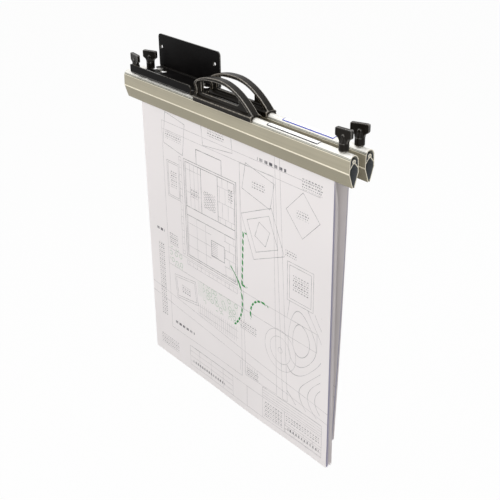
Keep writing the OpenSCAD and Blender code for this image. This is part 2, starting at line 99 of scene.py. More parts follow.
# How a bundle hangs: its shares of the spread and of the lean, how much shorter it is than its
# solids, and from grip to foot, its shift along X and the curl of its right edge
Bundle = namedtuple("Bundle", "spread lean shorter shift curl")
BUNDLES = {"front": Bundle(0.8, 0, 0, (3 * MM, 0), (8.5 * MM, 4.5 * MM)),
           "rear": Bundle(0.45, 1, 6 * MM, (-1 * MM, -8 * MM), (0, 0))}

# Where a highlight is painted on worn edges: a moulded face that stands out by this share of a
# facet, and a face of the bracket that is narrower than this, just over the thickness of its sheet
PROUD_SHARE = 0.035
RIM_WIDTH = 2.6 * MM

FLOOR_SPAN = 14


class RackSizes(bpy.types.PropertyGroup):
    """Sizes that the scene adds to the rack's own"""

    camera_place: bpy.props.FloatVectorProperty(
        name="Camera Place", description="Where the photograph was taken from",
        default=(1.5623, -1.0792, 0.4899), subtype="TRANSLATION", unit="LENGTH")
    camera_turn: bpy.props.FloatVectorProperty(
        name="Camera Turn", description="Tilt from straight down, roll and heading of the camera",
        default=(math.radians(63.71), math.radians(-0.87), math.radians(51.73)),
        subtype="EULER")
    camera_lens: bpy.props.FloatProperty(
        name="Focal Length", description="Focal length on a 36 mm sensor, in millimetres",
        default=67.63, min=20, max=200)
    floor_drop: bpy.props.FloatProperty(
        name="Floor Drop", description="Floor below the foot of the sheets", default=0.45,
        min=0.01, max=2, unit="LENGTH")
    facet: bpy.props.FloatProperty(
        name="Moulded Facet", description="Size of the facets of the handles and knobs",
        default=0.8 * MM, min=0.5 * MM, max=1.5 * MM, unit="LENGTH", precision=5)
    softness: bpy.props.IntProperty(
        name="Moulded Softness", description="Smoothing steps that round the moulded edges",
        default=7, min=1, max=20)
    paper: bpy.props.FloatProperty(
        name="Paper Thickness", description="Thickness of one sheet", default=0.12 * MM,
        min=0.05 * MM, max=0.5 * MM, unit="LENGTH", precision=5)
    sheets: bpy.props.IntProperty(
        name="Sheets", description="Sheets held by one clamp", default=5, min=2, max=8)
    spread: bpy.props.FloatProperty(
        name="Spread", description="How far the sheets of a clamp part at their foot",
        default=9 * MM, min=0, max=20 * MM, unit="LENGTH")
    lean: bpy.props.FloatProperty(
        name="Lean", description="How far the rear sheets lean forwards at their foot",
        default=16 * MM, min=0, max=18 * MM, unit="LENGTH")
    fine_line: bpy.props.FloatProperty(
        name="Fine Line", description="Width of the plan's fine lines, in millimetres",
        default=0.8, min=0.2, max=2)
    bold_line: bpy.props.FloatProperty(
        name="Bold Line", description="Width of the plan's wall lines, in millimetres",
        default=1.25, min=0.3, max=3)


class RackColours(bpy.types.PropertyGroup):
    """Colours of the rack's finishes, as sRGB hex values"""

    jaw: bpy.props.StringProperty(
        name="Jaws", description="Warm silver anodising of the jaws", default="#AAA38F")
    # Painted shade: the jaws' lower faces are painted darker than the upper ones
    lower_jaw_shade: bpy.props.StringProperty(
        name="Lower Jaws", description="Deeper anodising of the jaws' lower faces",
        default="#8E8771")
    # Painted highlight on the jaws' ridges and the brims' edges; bare metal on the sawn ends
    highlight_and_bare_metal: bpy.props.StringProperty(
        name="Handled Edges", description="Ridges and brims rubbed bright by handling",
        default="#E4DDC9")
    rail: bpy.props.StringProperty(
        name="Rails", description="Paler anodising of the top rails", default="#E3E1DB")
    # Painted shade: the rails' sides are painted darker than their lit top
    rail_side_shade: bpy.props.StringProperty(
        name="Rail Sides", description="Anodising of the rails' sides, above the brims",
        default="#AEADA1")
    # Painted shade in the rails' grooves
    groove_shade: bpy.props.StringProperty(
        name="Grooves", description="Dust in the rails' grooves", default="#77756B")
    inside_light_and_shade: bpy.props.StringProperty(
        # Painted light and shade inside the hollow jaws, as a cool grey
        name="Inside", description="Bare aluminium inside the jaws", default="#7F8386")
    zinc: bpy.props.StringProperty(
        name="Fasteners", description="Zinc plate on studs, rods and nuts", default="#B4B2AC")
    coat: bpy.props.StringProperty(
        name="Bracket", description="Black powder coat of the wall bracket", default="#070606")
    plastic: bpy.props.StringProperty(
        name="Moulded Parts", description="Black plastic of knobs and handles",
        default="#100D09")
    # Painted highlight: lighter colours along the worn edges of the handles, knobs and bracket
    edge_highlight: bpy.props.StringProperty(
        name="Rubbed Handles", description="Edges of the handles, smoothed by use",
        default="#5E574C")
    knob_edge_highlight: bpy.props.StringProperty(
        name="Rubbed Knobs", description="Edges of the knobs, less worn than the handles'",
        default="#353029")
    bracket_edge_highlight: bpy.props.StringProperty(
        name="Cut Edges", description="Cut edges of the bracket, where the coat wears thin",
        default="#3C3832")
    paper: bpy.props.StringProperty(
        name="Paper", description="Drawing paper", default="#ECE7E7")
    # A darker, bluish paper for each bundle's second sheet
    bluish_paper: bpy.props.StringProperty(
        name="Print Paper", description="Bluish paper of the copies in a bundle",
        default="#B9B6CC")
    ink: bpy.props.StringProperty(
        name="Ink", description="Drawn lines", default="#3F3E47")
    green: bpy.props.StringProperty(
        name="Green", description="Planting drawn in green", default="#2F8A45")
    card: bpy.props.StringProperty(
        name="Card", description="White card of the index labels", default="#F4F4F3")
    label_front: bpy.props.StringProperty(
        name="Front Label", description="Border of the front index label", default="#23232C")
    label_rear: bpy.props.StringProperty(
        name="Rear Label", description="Border of the rear index label", default="#2F3C9E")
    floor: bpy.props.StringProperty(
        name="Floor", description="Pale paint of the studio floor", default="#C9C9C7")


def linear(code, share=1.0):
    """A linear colour from an sRGB hex value, dimmed or lifted by a share."""
    parts = [int(code[i:i + 2], 16) / 255 for i in (1, 3, 5)]
    return tuple(min(1, share * (p / 12.92 if p <= 0.04045 else ((p + 0.055) / 1.055) ** 2.4))
                 for p in parts) + (1,)


def new_material(name):
    """An empty node material and its node tree."""
    material = bpy.data.materials.new(name)
    material.use_nodes = True
    material.node_tree.nodes.clear()
    return material, material.node_tree


def add(tree, kind, settings=None, *values, **named):
    """Adds a shader node, sets it, and sets or links its inputs.

    The settings are a dict, or the name of an operation. Values go to the inputs in order, or
    by name with _ for a space; a value that is a node is linked from its first output in use.
    """
    node = tree.nodes.new("ShaderNode" + kind)
    if isinstance(settings, str):
        settings = {"operation": settings}
    for key, value in (settings or {}).items():
        setattr(node, key, value)
    in_use = [socket for socket in node.inputs if socket.enabled]
    named = {node.inputs[key.replace("_", " ")]: value for key, value in named.items()}
    for socket, value in (*zip(in_use, values), *named.items()):
        if isinstance(value, bpy.types.Node):
            value = next(output for output in value.outputs if output.enabled)
        if isinstance(value, bpy.types.NodeSocket):
            tree.links.new(value, socket)
        else:
            socket.default_value = value
    return node


def paint(nodes, material):
    """Gives CAD nodes their material."""
    for name in nodes:
        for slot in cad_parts[name].material_slots:
            slot.material = material


def extruded_aluminium(name, colour, metallic, rough, zones):
    """Extruded, etched and anodised aluminium: a satin sheen drawn out along X by die lines.

    Each zone is a function that gives a mask, with the colour that it takes.
    """
    material, tree = new_material(name)
    coords = add(tree, "TexCoord")
    place = coords.outputs["Object"]
    # Die lines about 1.5 mm apart and 0.4 m long; real ones are finer, and wouldn't show
    drawn = add(tree, "Mapping", Vector=place, Scale=(2.5, 650, 650))
    lines = add(tree, "TexNoise", Vector=drawn, Scale=1.0, Detail=3.0)
    # Slow change of the anodising's depth, about 120 mm across
    cloud = add(tree, "TexNoise", Vector=place, Scale=8.0, Detail=2.0)
    depth = add(tree, "Mix", None, 0.4, lines, cloud)
    spot = section(tree, place, coords.outputs["Normal"])
    tint = linear(colour)
    for zone, zone_colour in zones:
        tint = add(tree, "Mix", {"data_type": "RGBA"}, zone(tree, spot), tint,
                   linear(zone_colour))
    shade = add(tree, "MapRange", None, depth, 0.35, 0.65, 0.9, 1.04)
    tint = add(tree, "Mix", {"data_type": "RGBA", "blend_type": "MULTIPLY"}, 1.0, tint, shade)
    gloss = add(tree, "MapRange", None, lines, 0.3, 0.7, rough - 0.05, rough + 0.07)
    relief = add(tree, "Bump", Height=lines, Strength=0.15, Distance=0.05 * MM)
    metal = add(tree, "BsdfPrincipled", Base_Color=tint, Metallic=metallic, Roughness=gloss,
                Normal=relief, Anisotropic=0.3)
    add(tree, "OutputMaterial", Surface=metal)
    return material


def section(tree, place, facing):
    """Where a point lies on a clamp's section: off its axis, above its tips, on a cut end."""
    split = add(tree, "SeparateXYZ", Vector=place)
    away = 1.0
    for clamp in CLAMPS:
        low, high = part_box(clamp + "_top_rail")
        off = add(tree, "Math", "SUBTRACT", split.outputs["Y"], (low.y + high.y) / 2)
        away = add(tree, "Math", "MINIMUM", away, add(tree, "Math", "ABSOLUTE", off))
    rise = add(tree, "Math", "SUBTRACT", split.outputs["Z"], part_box("front_near_jaw")[0].z)
    # A cut end faces along X
    along = add(tree, "SeparateXYZ", Vector=facing).outputs["X"]
    cut = add(tree, "Math", "GREATER_THAN", add(tree, "Math", "ABSOLUTE", along), 0.7)
    return Spot(away, rise, cut)


def cut_end(tree, spot):
    """The sawn ends, bright where the saw went through the anodising."""
    return spot.cut


def jaw_hollow(tree, spot):
    """The jaws' inner faces, nearer to the axis than the middle of their walls: painted light and
    shade inside the hollow.
    """
    tip, ridge, top = WALL_MIDDLES
    lower = add(tree, "MapRange", None, spot.rise, 0, RIDGE_RISE, tip, ridge)
    upper = add(tree, "MapRange", None, spot.rise, RIDGE_RISE, JAW_TOP_RISE, ridge, top)
    wall = add(tree, "Math", "MINIMUM", lower, upper)
    return add(tree, "Math", "LESS_THAN", spot.away, wall)


def jaw_ridge(tree, spot):
    """The bead along the jaws' ridges and the band beside it, where a highlight is painted."""
    out = add(tree, "Math", "GREATER_THAN", spot.away, BEAD_AWAY)
    low = add(tree, "Math", "LESS_THAN", spot.rise, BEAD_RISE)
    return add(tree, "Math", "MULTIPLY", out, low)


def lower_jaw_shade(tree, spot):
    """The jaws' lower faces, painted a little darker as shade, since they face downwards."""
    return add(tree, "MapRange", None, spot.rise, *LOWER_FADE, 0.55, 0.0)


def rail_side_shade(tree, spot):
    """The rails' sides, up to the second of their grooves, painted darker than the top as shade.
    """
    return add(tree, "MapRange", None, spot.rise, *SIDE_FADE, 1.0, 0.0)


def rail_brim(tree, spot):
    """The brims' edges, where a highlight is painted."""
    out = add(tree, "Math", "GREATER_THAN", spot.away, BRIM_AWAY)
    low = add(tree, "Math", "LESS_THAN", spot.rise, BRIM_RISE)
    return add(tree, "Math", "MULTIPLY", out, low)


def rail_groove(tree, spot):
    """The grooves' floors, just under the dome's own round, painted dark as shade."""
    up = add(tree, "Math", "SUBTRACT", spot.rise, DOME_RISE)
    reach = add(tree, "VectorMath", "LENGTH", add(tree, "CombineXYZ", None, spot.away, up))
    floor = add(tree, "Math", "COMPARE", reach, GROOVE_FLOOR, GROOVE_REACH)
    dome = add(tree, "Math", "GREATER_THAN", up, 0.0)
    return add(tree, "Math", "MULTIPLY", floor, dome)


def zinc_plate(name, colour):
    """Turned steel with bright zinc plate: pale, cool and a little cloudy."""
    material, tree = new_material(name)
    place = add(tree, "TexCoord").outputs["Object"]
    # Spangle about 2 mm across
    spangle = add(tree, "TexVoronoi", Vector=place, Scale=500.0)
    tint = add(tree, "Mix", {"data_type": "RGBA"}, spangle, linear(colour), linear(colour, 0.8))
    gloss = add(tree, "MapRange", None, spangle, 0, 1, 0.28, 0.42)
    metal = add(tree, "BsdfPrincipled", Base_Color=tint, Metallic=0.9, Roughness=gloss)
    add(tree, "OutputMaterial", Surface=metal)
    return material


def powder_coat(name, colour):
    """Satin polyester powder coat: an orange-peel skin over the bent sheet."""
    material, tree = new_material(name)
    place = add(tree, "TexCoord").outputs["Object"]
    # Orange peel about 1.2 mm across, wear and dust about 60 mm across
    peel = add(tree, "TexNoise", Vector=place, Scale=850.0, Detail=2.0)
    wear = add(tree, "TexNoise", Vector=place, Scale=16.0, Detail=5.0, Roughness=0.6)
    dust = add(tree, "MapRange", None, wear, 0.4, 0.8, 0, 1)
    tint = add(tree, "Mix", {"data_type": "RGBA"}, dust, linear(colour), linear(colour, 2.2))
    gloss = add(tree, "MapRange", None, wear, 0.3, 0.7, 0.34, 0.48)
    relief = add(tree, "Bump", Height=peel, Strength=0.2, Distance=0.12 * MM)
    coat = add(tree, "BsdfPrincipled", Base_Color=tint, Roughness=gloss, Normal=relief,
               Specular_IOR_Level=0.05)
    add(tree, "OutputMaterial", Surface=coat)
    return material


def moulded_plastic(name, colour):
    """Spark-eroded black ABS: a fine even grain, and a soft sheen where hands rub it."""
    material, tree = new_material(name)
    place = add(tree, "TexCoord").outputs["Object"]
    # Mould grain about 0.8 mm, coarser than real so that it shows; worn patches 40 mm across
    grain = add(tree, "TexNoise", Vector=place, Scale=1200.0, Detail=2.0)
    rub = add(tree, "TexNoise", Vector=place, Scale=28.0, Detail=4.0)
    worn = add(tree, "MapRange", None, rub, 0.35, 0.75, 0, 1)
    tint = add(tree, "Mix", {"data_type": "RGBA"}, worn, linear(colour), linear(colour, 1.8))
    gloss = add(tree, "MapRange", None, rub, 0.3, 0.7, 0.4, 0.3)
    relief = add(tree, "Bump", Height=grain, Strength=0.25, Distance=0.1 * MM)
    plastic = add(tree, "BsdfPrincipled", Base_Color=tint, Roughness=gloss, Normal=relief,
                  Specular_IOR_Level=0.13)
    add(tree, "OutputMaterial", Surface=plastic)
    return material


def worn_edge_and_highlight(name, colour):
    """Black finish worn smooth and glossy along an edge, lightened as a painted highlight."""
    material, tree = new_material(name)
    place = add(tree, "TexCoord").outputs["Object"]
    # Nicks and rubs about 5 mm long
    nicks = add(tree, "TexNoise", Vector=place, Scale=200.0, Detail=3.0)
    worn = add(tree, "MapRange", None, nicks, 0.35, 0.7, 0, 1)
    tint = add(tree, "Mix", {"data_type": "RGBA"}, worn, linear(colour, 0.5),
               linear(colour, 1.5))
    gloss = add(tree, "MapRange", None, nicks, 0.3, 0.7, 0.2, 0.32)
    edge = add(tree, "BsdfPrincipled", Base_Color=tint, Roughness=gloss, Specular_IOR_Level=0.9)
    add(tree, "OutputMaterial", Surface=edge)
    return material


def paper_shader(tree, place, base):
    """Matt drawing paper: soft fibres about 1.5 mm long and a slow change of tone."""
    fibre = add(tree, "TexNoise", Vector=place, Scale=650.0, Detail=3.0)
    tone = add(tree, "TexNoise", Vector=place, Scale=3.0, Detail=2.0)
    shade = add(tree, "MapRange", None, tone, 0.3, 0.7, 0.955, 1.02)
    tint = add(tree, "Mix", {"data_type": "RGBA", "blend_type": "MULTIPLY"}, 1.0, base, shade)
    relief = add(tree, "Bump", Height=fibre, Strength=0.1, Distance=0.05 * MM)
    return add(tree, "BsdfPrincipled", Base_Color=tint, Roughness=0.85, Normal=relief,
               Specular_IOR_Level=0.3)


def plain_paper(name, colour):
    """Blank bond paper, as matt as the drawn one."""
    material, tree = new_material(name)
    place = add(tree, "TexCoord").outputs["Object"]
    add(tree, "OutputMaterial", Surface=paper_shader(tree, place, linear(colour)))
    return material


class PlanDrawing:
    """A drawing made shape by shape, in millimetres from the sheet's low left corner.

    Each shape joins what is drawn before it at once, so that the shader stays small.
    """

    def __init__(self, tree, sheet):
        self.tree = tree
        self.sheet = sheet
        self.turned = {0.0: sheet}
        self.tones = {}

    def box(self, low, high, turn=0.0):
        """Signed distance to a box, turned about its middle."""
        angle = math.radians(-turn)
        if turn not in self.turned:
            self.turned[turn] = add(self.tree, "Mapping", Vector=self.sheet,
                                    Rotation=(0, 0, angle))
        middle = (Vector(low) + Vector(high)) / 2
        middle.rotate(Matrix.Rotation(angle, 2))
        half = (Vector(high) - Vector(low)) / 2
        away = add(self.tree, "VectorMath", "SUBTRACT", self.turned[turn], (*middle, 0))
        size = add(self.tree, "VectorMath", "ABSOLUTE", away)
        over = add(self.tree, "VectorMath", "SUBTRACT", size, (*half, 0))
        across = add(self.tree, "VectorMath", "DOT_PRODUCT", over, (1, 0, 0))
        up = add(self.tree, "VectorMath", "DOT_PRODUCT", over, (0, 1, 0))
        return add(self.tree, "Math", "MAXIMUM", across, up)

    def ring(self, middle, radius):
        """Signed distance to a circle."""
        reach = add(self.tree, "VectorMath", "DISTANCE", self.sheet, (*middle, 0))
        return add(self.tree, "Math", "SUBTRACT", reach, radius)

    def trace(self, width, *shapes):
        """The outlines of some shapes; each is a box or a ring, given by its sizes."""
        nearest = 1000.0
        for shape in shapes:
            made = self.ring(*shape) if isinstance(shape[1], (int, float)) else self.box(*shape)
            near = add(self.tree, "Math", "ABSOLUTE", made)
            nearest = add(self.tree, "Math", "MINIMUM", nearest, near)
        return add(self.tree, "Math", "LESS_THAN", nearest, width / 2)

    def draw(self, tone, mask, *areas):
        """Adds a mask to a tone: all of it, or the parts inside some boxes."""
        for area in areas or [None]:
            part = mask
            if area:
                within = add(self.tree, "Math", "LESS_THAN", self.box(*area), 0.0)
                part = add(self.tree, "Math", "MULTIPLY", mask, within)
            self.tones[tone] = add(self.tree, "Math", "MAXIMUM", self.tones.get(tone, 0.0), part)

    def grid(self, across, up, line, shift=0.5, turn=0.0):
        """Lines between bricks: rooms, bays or panels."""
        turned = add(self.tree, "Mapping", Vector=self.sheet, Rotation=(0, 0, math.radians(turn)))
        return add(self.tree, "TexBrick", {"offset": shift}, Vector=turned, Scale=1.0,
                   Mortar_Size=line / 2, Brick_Width=across, Row_Height=up).outputs["Fac"]

    def strokes(self, across, up, gap):
        """Short ruled strokes in rows, where a real plan has its notes."""
        gaps = add(self.tree, "TexBrick", {"offset": 0.37, "squash": 0.6}, Vector=self.sheet,
                   Scale=1.0, Mortar_Size=gap, Brick_Width=across, Row_Height=up)
        return add(self.tree, "Math", "LESS_THAN", gaps.outputs["Fac"], 0.5)


def draw_site(plan, fine, bold):
    """Title strip, buildings, roads, lots, measures and notes; a layout of no real place."""
    # Title strip along the foot and a column of notes at the left
    plan.draw("faint", plan.trace(
        fine, ((140, 15), (579, 66)), ((402, 15), (470, 66)), ((470, 40), (579, 66)),
        ((402, 66), (579, 92)), ((300, 15), (350, 66))))
    plan.draw("faint", plan.grid(27, 8.4, fine), ((470, 15), (579, 40)))
    plan.draw("faint", plan.grid(44, 13, fine, 0.0), ((140, 15), (300, 66)))
    plan.draw("faint", plan.grid(200, 6.5, fine, 0.0), ((402, 66), (579, 92)))
    plan.draw("faint", plan.grid(8, 300, fine, 0.0), ((322, 96), (390, 120)))

    # The main building: double outer walls, rooms off a corridor, a stair and a lift core
    plan.draw("strong", plan.trace(
        bold, ((146, 296), (322, 520)), ((151, 301), (317, 515)), ((151, 396), (317, 416)),
        ((206, 416), (262, 515)), ((236, 330), (280, 366)), ((192, 520), (276, 552))))
    plan.draw("faint", plan.grid(31, 27, fine, 0.0), ((151, 301), (236, 396)))
    plan.draw("faint", plan.grid(18.5, 33, fine), ((262, 416), (317, 515)))
    plan.draw("faint", plan.grid(27, 19, fine), ((280, 301), (317, 396)))
    plan.draw("faint", plan.grid(14, 50, fine, 0.0), ((151, 416), (206, 515)))
    plan.draw("strong", plan.grid(200, 4.2, fine, 0.0), ((236, 330), (258, 366)))
    plan.draw("strong", plan.grid(6, 6, fine, 0.5, 45.0), ((214, 432), (254, 470)))

    # Hipped roofs and annexes, some at an angle, and an outbuilding with its own court
    plan.draw("strong", plan.trace(
        fine, ((352, 392), (452, 486), 24.0), ((366, 406), (438, 472), 24.0),
        ((384, 422), (420, 456), 69.0), ((476, 330), (548, 412)), ((482, 336), (542, 406)),
        ((84, 418), (130, 500)), ((88, 422), (126, 496)), ((346, 506), (432, 562), -12.0),
        ((96, 180), (176, 236), 8.0), ((101, 185), (171, 231), 8.0),
        ((484, 484), (548, 548), 45.0), ((212, 572), (308, 660), 6.0),
        ((80, 530), (150, 600), -9.0)))

    # Roads, a turning place and its kerbs, lot lines, and measures along two sides
    plan.draw("faint", plan.trace(
        fine, ((-40, 128), (660, 152), -5.0), ((450, 94), (464, 640), 3.0), ((456, 206), 46),
        ((456, 206), 30), ((456, 206), 6), ((72, 84), (334, 566)),
        ((340, 94), (440, 566), 1.5), ((72, 250), (560, 290)), ((72, 566), (560, 584)),
        ((130, 296), (138, 520)), ((146, 276), (322, 286))))
    plan.draw("faint", plan.grid(7.5, 17, fine, 0.0), ((180, 160), (322, 194)))
    plan.draw("faint", plan.grid(400, 16, fine, 0.0), ((130, 296), (138, 520)))
    plan.draw("faint", plan.grid(14, 400, fine, 0.0), ((146, 276), (322, 286)))

    # Contour lines of the ground, from noise about 180 mm across cut into even steps
    ground = add(plan.tree, "TexNoise", Vector=plan.sheet, Scale=0.0055, Detail=0.0)
    step = add(plan.tree, "Math", "MODULO", ground, 0.05)
    plan.draw("faint", add(plan.tree, "Math", "LESS_THAN", step, 0.003), ((476, 100), (572, 330)))

    # Notes and keys, as ruled strokes, small and large
    plan.draw("strong", plan.strokes(8.0, 5.0, 1.6),
              ((32, 104), (56, 292)), ((474, 44), (572, 62)), ((24, 22), (96, 48)),
              ((408, 20), (464, 60)), ((492, 356), (534, 388)), ((96, 440), (118, 478)),
              ((120, 196), (152, 216)), ((168, 440), (196, 462)), ((372, 524), (410, 542)),
              ((500, 508), (532, 526)), ((330, 200), (384, 222)), ((84, 548), (140, 564)),
              ((232, 592), (288, 612)), ((350, 96), (388, 116)), ((78, 300), (112, 330)),
              ((296, 470), (312, 500)), ((512, 568), (566, 590)), ((470, 420), (500, 436)))
    plan.draw("strong", plan.strokes(14.0, 11.0, 2.6),
              ((150, 20), (270, 31)), ((84, 98), (160, 110)), ((388, 583), (470, 594)),
              ((480, 22), (572, 33)), ((28, 320), (60, 331)))


def draw_planting(plan):
    """Green ink: dashed hedges on a curve and along a lot, tree rings, and a hatched lawn."""
    # Dashes 26 mm long, on and off along the sheet's diagonal
    waves = add(plan.tree, "TexWave", {"bands_direction": "DIAGONAL"}, Vector=plan.sheet,
                Scale=1 / 26, Distortion=0.0)
    dashes = add(plan.tree, "Math", "GREATER_THAN", waves.outputs["Fac"], 0.2)
    for shape, area in ((((254, 262), 84), ((300, 200), (372, 420))),
                        (((340, 300), (480, 420), -3.0), ((330, 290), (354, 424))),
                        (((404, 250), 40), ((340, 236), (420, 296)))):
        hedge = plan.trace(4.4, shape)
        plan.draw("green", add(plan.tree, "Math", "MULTIPLY", hedge, dashes), area)
    # Tree crowns about 16 mm apart
    crowns = add(plan.tree, "TexVoronoi", {"voronoi_dimensions": "2D"}, Vector=plan.sheet,
                 Scale=0.062, Randomness=0.8)
    rims = add(plan.tree, "Math", "COMPARE", crowns, 0.3, 0.04)
    plan.draw("green", add(plan.tree, "Math", "MULTIPLY", rims, 0.5),
              ((200, 202), (330, 250)), ((78, 250), (130, 296)))
    lawn = add(plan.tree, "Math", "MULTIPLY", plan.grid(400, 3.4, 0.9, 0.0, 35.0), 0.25)
    plan.draw("green", lawn, ((180, 214), (322, 250)))


def printed_plan(name, sizes, colours, width, height):
    """A line drawing plotted in grey and green on bond paper, laid out on the sheet's UV map."""
    material, tree = new_material(name)
    coords = add(tree, "TexCoord")
    sheet = add(tree, "Mapping", Vector=coords.outputs["UV"],
                Scale=(width / MM, height / MM, 1))
    plan = PlanDrawing(tree, sheet)
    draw_site(plan, sizes.fine_line, sizes.bold_line)
    strong = add(tree, "Math", "MULTIPLY", plan.tones["strong"], 0.95)
    ink = add(tree, "Math", "MAXIMUM", strong,
              add(tree, "Math", "MULTIPLY", plan.tones["faint"], 0.65))
    draw_planting(plan)
    # The plotter's ink breaks up a little along each line, over about 30 mm
    breaks = add(tree, "TexNoise", Vector=sheet, Scale=0.05, Detail=3.0)
    ink = add(tree, "Math", "MULTIPLY", ink,
              add(tree, "MapRange", None, breaks, 0.35, 0.65, 0.5, 1.0))
    tint = add(tree, "Mix", {"data_type": "RGBA"}, ink, linear(colours.paper),
               linear(colours.ink))
    tint = add(tree, "Mix", {"data_type": "RGBA"}, plan.tones["green"], tint,
               linear(colours.green))
    add(tree, "OutputMaterial", Surface=paper_shader(tree, coords.outputs["Object"], tint))
    return material


def index_card(name, card, border, line, length, width):
    """White card under a clear strip: a soft gloss over a round-cornered printed border.

    The border's line, length and width are in millimetres, on the label's UV map.
    """
    material, tree = new_material(name)
    coords = add(tree, "TexCoord")
    flat = add(tree, "Mapping", Vector=coords.outputs["UV"],
               Location=(-length / 2, -width / 2, 0), Scale=(length, width, 1))
    inset = CARD_MARGIN + CARD_CORNER
    over = add(tree, "VectorMath", "SUBTRACT", add(tree, "VectorMath", "ABSOLUTE", flat),
               (length / 2 - inset, width / 2 - inset, 1))
    reach = add(tree, "VectorMath", "LENGTH",
                add(tree, "VectorMath", "MAXIMUM", over, (0, 0, 0)))
    drawn = add(tree, "Math", "COMPARE", reach, CARD_CORNER, line / 2)
    # Slight yellowing in clouds about 30 mm across
    cloud = add(tree, "TexNoise", Vector=coords.outputs["Object"], Scale=30.0)
    aged = add(tree, "MapRange", None, cloud, 0.3, 0.7, 0, 1)
    base = add(tree, "Mix", {"data_type": "RGBA"}, aged, linear(card), linear(card, 0.94))
    tint = add(tree, "Mix", {"data_type": "RGBA"}, drawn, base, linear(border))
    strip = add(tree, "BsdfPrincipled", Base_Color=tint, Roughness=0.3)
    add(tree, "OutputMaterial", Surface=strip)
    return material


def deselect():
    """Deselects every object, the CAD nodes among them."""
    bpy.ops.object.select_all(action="DESELECT")


def choose(piece):
    """Selects one piece alone and makes it active."""
    deselect()
    piece.select_set(True)
    bpy.context.view_layer.objects.active = piece


def apply(piece, kind, **settings):
    """Adds a modifier, sets it and applies it."""
    choose(piece)
    modifier = piece.modifiers.new(kind.lower(), kind)
    for key, value in settings.items():
        setattr(modifier, key, value)
    bpy.ops.object.modifier_apply(modifier=modifier.name)


def settle(piece, body, angle=35):
    """Applies a finished piece's place, smooths it and lets it ride on a body."""
    choose(piece)
    bpy.ops.object.transform_apply(location=True, rotation=True, scale=True)
    bpy.ops.object.shade_smooth_by_angle(angle=math.radians(angle))
    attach(piece, body)
    deselect()


def copied(node, materials):
    """A new piece with a CAD node's mesh, merged, which stands for the node."""
    piece = bpy.data.objects.new(node + "_finished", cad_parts[node].data.copy())
    bpy.context.scene.collection.objects.link(piece)
    piece.data.materials.clear()
    for material in materials:
        piece.data.materials.append(material)
    choose(piece)
    bpy.ops.object.mode_set(mode="EDIT")
    bpy.ops.mesh.select_all(action="SELECT")
    bpy.ops.mesh.remove_doubles(threshold=0.01 * MM)
    bpy.ops.mesh.dissolve_limited(angle_limit=math.radians(1))
    bpy.ops.object.mode_set(mode="OBJECT")
    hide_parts(node)
    return piece


def moulded(node, body, sizes, materials):
    """A handle or knob as it leaves the mould, its edges round, with a highlight painted where
    they stand out.

    How proud a point stands is how far it is outside the middle of its neighbours, evened out
    a few times so that the bands of painted highlight have smooth sides.
    """
    piece = copied(node, materials)
    apply(piece, "REMESH", mode="VOXEL", voxel_size=sizes.facet)
    apply(piece, "SMOOTH", factor=0.5, iterations=sizes.softness)
    mesh = bmesh.new()
    mesh.from_mesh(piece.data)
    beside = {vertex: [edge.other_vert(vertex) for edge in vertex.link_edges]
              for vertex in mesh.verts}
    proud = {vertex: (vertex.co - sum((other.co for other in near), Vector()) / len(near)).dot(
        vertex.normal) for vertex, near in beside.items()}
    for _ in range(3):
        proud = {vertex: (proud[vertex] + sum(proud[other] for other in near)) / (len(near) + 1)
                 for vertex, near in beside.items()}
    for face in mesh.faces:
        mean = sum(proud[vertex] for vertex in face.verts) / len(face.verts)
        # Faces that stand out take the edge material, a painted highlight on worn edges
        face.material_index = int(mean > PROUD_SHARE * sizes.facet)
    mesh.to_mesh(piece.data)
    mesh.free()
    settle(piece, body)


def coated(node, body, materials):
    """The bent sheet bracket, with a highlight painted along the sheet's cut edges, where the coat
    wears.
    """
    piece = copied(node, materials)
    for face in piece.data.polygons:
        corners = [piece.data.vertices[i].co for i in face.vertices]
        around = sum((a - b).length for a, b in zip(corners, corners[1:] + corners[:1]))
        narrow = 2 * face.area / around < RIM_WIDTH
        # The facets of the bends are narrow too, but face slantwise between up and out
        bend = abs(face.normal.x) < 0.3 and max(abs(face.normal.y), abs(face.normal.z)) < 0.98
        # Narrow faces other than the bends take the edge material, a painted highlight on worn
        # edges
        face.material_index = int(narrow and not bend)
    settle(piece, body, 30)
    apply(piece, "WEIGHTED_NORMAL", keep_sharp=True, weight=80)


